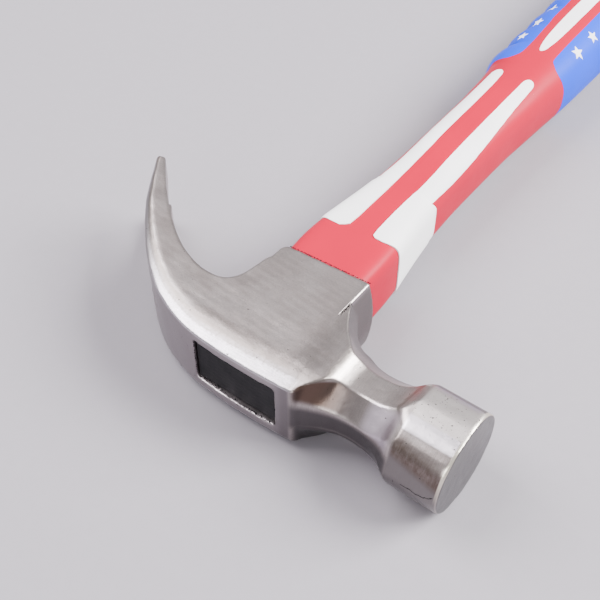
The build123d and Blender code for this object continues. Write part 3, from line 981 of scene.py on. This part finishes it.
        # Painted highlight on the poll's rim, brightest on its upper half.
        rim = self.product(self.rises(self.x, 55.95, 56.25), self.rises(self.z, -1.0, 7.0))
        self.paint((0.80, 0.735, 0.62), rim, 0.9)
        y_squared, z_squared = self.product(self.forward, self.forward), self.product(self.z, self.z)
        from_axis = self.calculate("SQRT", self.calculate("ADD", y_squared, z_squared))
        struck = self.product(self.rises(self.x, 56.70, 56.85), self.rises(from_axis, 12.95, 12.55))
        self.paint((0.125, 0.119, 0.121), struck, 0.95)

    def paint_facet(self):
        """The poll's upper facet, which is rougher than the rest."""
        facet = self.product(self.on_poll, self.within(self.angle, 1.05, 1.80, 0.06))
        self.paint((0.60, 0.56, 0.545), facet, 0.6)
        return facet

    def paint_marks(self, facet):
        """Pits, many on the facet and few elsewhere, a crack across the poll and a nick by the skirt."""
        many = self.product(self.ramp(self.noise(self.plain, 1.9, 2.0), [(0.665, 0.0), (0.70, 1.0)]), facet)
        few = self.ramp(self.noise(self.plain, 1.15, 1.0), [(0.765, 0.0), (0.785, 1.0)])
        pits = self.calculate("MAXIMUM", many, few)
        climb = self.product(self.rises(self.x, 52.3, 56.8), 1.7)
        sway = self.product(self.calculate("SUBTRACT", self.wobble, 0.42), 1.5)
        over_crack = self.calculate("SUBTRACT", self.z, self.calculate("ADD", climb, sway))
        crack = self.product(self.within(over_crack, -0.12, 0.14, 0.10),
                             self.within(self.x, 48.0, 55.6, 0.5), self.rises(self.forward, -11.0, -12.0),
                             self.ramp(self.grain, [(0.38, 0.3), (0.46, 1.0)]))
        nick = self.product(self.within(self.x, 13.1, 13.65, 0.15), self.within(self.y, 24.5, 29.0, 0.6),
                            self.upper, self.ramp(self.grain, [(0.44, 0.0), (0.50, 1.0)]))
        marks = self.calculate("MAXIMUM", pits, self.calculate("MAXIMUM", crack, nick))
        self.paint((0.035, 0.03, 0.03), marks)
        return marks


def steel():
    made = Steel()
    made.start_tone()
    made.paint_crown_and_bevel()
    made.paint_cheek_edges()
    made.paint_dark_sides()
    made.paint_neck()
    made.paint_poll()
    made.paint_ends()
    facet = made.paint_facet()
    marks = made.paint_marks(facet)
    made.shade("Base Color", made.tone)
    made.shade("Metallic", 1.0)
    rough = made.ramp(made.lines, [(0.25, 0.36), (0.75, 0.27)])
    made.shade("Roughness", made.mix(facet, rough, (0.42, 0.42, 0.42)))
    unmarked = made.calculate("SUBTRACT", 1.0, marks)
    made.emboss((made.lines, 0.00003, 0.45), (made.grain, 0.00005, 0.45), (made.wobble, 0.00012, 0.35),
                (unmarked, 0.0001, 0.8))
    return made.material


def moulding(name, color, scuff, roughness=0.42):
    """Satin soft-touch plastic: slightly uneven colour, a fine grain, and small scuffs."""
    made = Graph(name)
    plain = made.space()
    broad = made.noise(plain, 0.05)
    fine = made.noise(plain, 1.6, 4.0, 0.6)
    wavy = made.noise(plain, 0.14, 2.0)
    made.tone = made.ramp(broad, [(0.35, tuple(c * 0.92 for c in color)), (0.65, color)])
    streaks = made.noise(made.space((0.5, 0.12, 0.5)), 1.0, 4.0, 0.7)
    made.paint(scuff, made.ramp(streaks, [(0.73, 0.0), (0.80, 0.55)]))
    made.shade("Base Color", made.tone)
    made.shade("Roughness", made.ramp(broad, [(0.3, roughness + 0.06), (0.7, roughness - 0.05)]))
    made.shade("Specular IOR Level", 0.13)
    made.emboss((fine, 0.00005, 0.45), (wavy, 0.0003, 0.35))
    return made.material


def resin():
    """Matt black resin with a little dust."""
    made = Graph("cast_resin")
    plain = made.space()
    broad = made.noise(plain, 0.2, 4.0)
    fine = made.noise(plain, 2.4, 3.0, 0.65)
    made.tone = made.ramp(broad, [(0.3, (0.007, 0.007, 0.008)), (0.7, (0.014, 0.013, 0.015))])
    made.paint((0.12, 0.115, 0.115), made.ramp(fine, [(0.66, 0.0), (0.78, 0.25)]))
    made.shade("Base Color", made.tone)
    made.shade("Roughness", 0.6)
    made.shade("Specular IOR Level", 0.18)
    made.emboss((fine, 0.00008, 0.5))
    return made.material


def fibreglass():
    """Pale yellow resin with strands along the rod."""
    made = Graph("glass_fibre_rod")
    strands = made.noise(made.space((3.0, 0.06, 3.0)), 1.0, 4.0)
    made.shade("Base Color", made.ramp(strands, [(0.3, (0.62, 0.57, 0.38)), (0.7, (0.80, 0.76, 0.56))]))
    made.shade("Roughness", 0.5)
    made.emboss((strands, 0.00006, 0.5))
    return made.material


def floor_material():
    made = Graph("paper_floor")
    grain = made.noise(made.space(), 0.3, 4.0)
    made.shade("Base Color", made.ramp(grain, [(0.3, (0.272, 0.255, 0.280)), (0.7, (0.278, 0.261, 0.286))]))
    made.shade("Roughness", 0.85)
    made.shade("Specular IOR Level", 0.2)
    return made.material


def give(piece, made):
    piece.data.materials.clear()
    piece.data.materials.append(made)


# ---------------------------------------------------------------- stage
FLOOR_REACH = 3.0
WORLD_COLOR, WORLD_STRENGTH = (0.98, 0.96, 1.0, 1), 0.72
# Each softbox: its place from the head in metres, its size in metres, its power in watts and its color.
SOFTBOXES = {
    "softbox_left": ((-0.58, -0.10, 0.81), (0.70, 0.70), 20, (1.0, 0.97, 1.0)),
    "softbox_right": ((0.74, 0.62, 0.78), (0.70, 0.70), 66, (1, 1, 1)),
    "softbox_front": ((0.45, -1.1, 0.55), (0.70, 0.40), 9, (1, 1, 1)),
}


def make_floor():
    mesh = bpy.data.meshes.new("floor")
    corners = [(FLOOR_REACH * a, FLOOR_REACH * b, 0) for a, b in ((-1, -1), (1, -1), (1, 1), (-1, 1))]
    mesh.from_pydata(corners, [], [(0, 1, 2, 3)])
    floor = bpy.data.objects.new("floor", mesh)
    bpy.context.scene.collection.objects.link(floor)
    give(floor, floor_material())


def make_lights():
    """Three softboxes that face the head, and an even studio around them."""
    middle = to_frame(0, 20, 0)
    for name, (place, size, power, color) in SOFTBOXES.items():
        data = bpy.data.lights.new(name, "AREA")
        data.shape = "RECTANGLE"
        data.size, data.size_y = size
        data.energy = power
        data.color = color
        light = bpy.data.objects.new(name, data)
        bpy.context.scene.collection.objects.link(light)
        light.location = middle + Vector(place)
        light.rotation_euler = (middle - light.location).to_track_quat("-Z", "Y").to_euler()
    world = bpy.data.worlds.new("studio")
    world.use_nodes = True
    background = world.node_tree.nodes["Background"]
    background.inputs["Color"].default_value = WORLD_COLOR
    background.inputs["Strength"].default_value = WORLD_STRENGTH
    bpy.context.scene.world = world


# ---------------------------------------------------------------- build
def place(piece, node, slot, made):
    give(piece, made)
    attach(piece, "root")
    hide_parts(node)


RED, RED_SCUFF = (0.43, 0.0, 0.026), (0.75, 0.25, 0.27)
WHITE, WHITE_SCUFF = (0.92, 0.91, 0.92), (0.80, 0.72, 0.73)
BLUE, BLUE_SCUFF = (0.0, 0.05, 0.66), (0.05, 0.12, 0.60)

make_floor()
make_lights()
place(make_head(), "hammer_head", "forged_steel", steel())
place(make_resin(), "eye_resin", "black_resin", resin())
red = ("red_moulding", moulding("red_plastic", RED, RED_SCUFF))
white = ("white_moulding", moulding("white_plastic", WHITE, WHITE_SCUFF, 0.5))
blue = ("blue_moulding", moulding("blue_plastic", BLUE, BLUE_SCUFF))
finishes = {"grip_sleeve": red, "blue_pad_claw_side": blue, "blue_pad_face_side": blue}
for node, piece in make_handle().items():
    place(piece, node, *finishes.get(node, white))
give(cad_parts["fibreglass_core"], fibreglass())

bpy.context.view_layer.update()
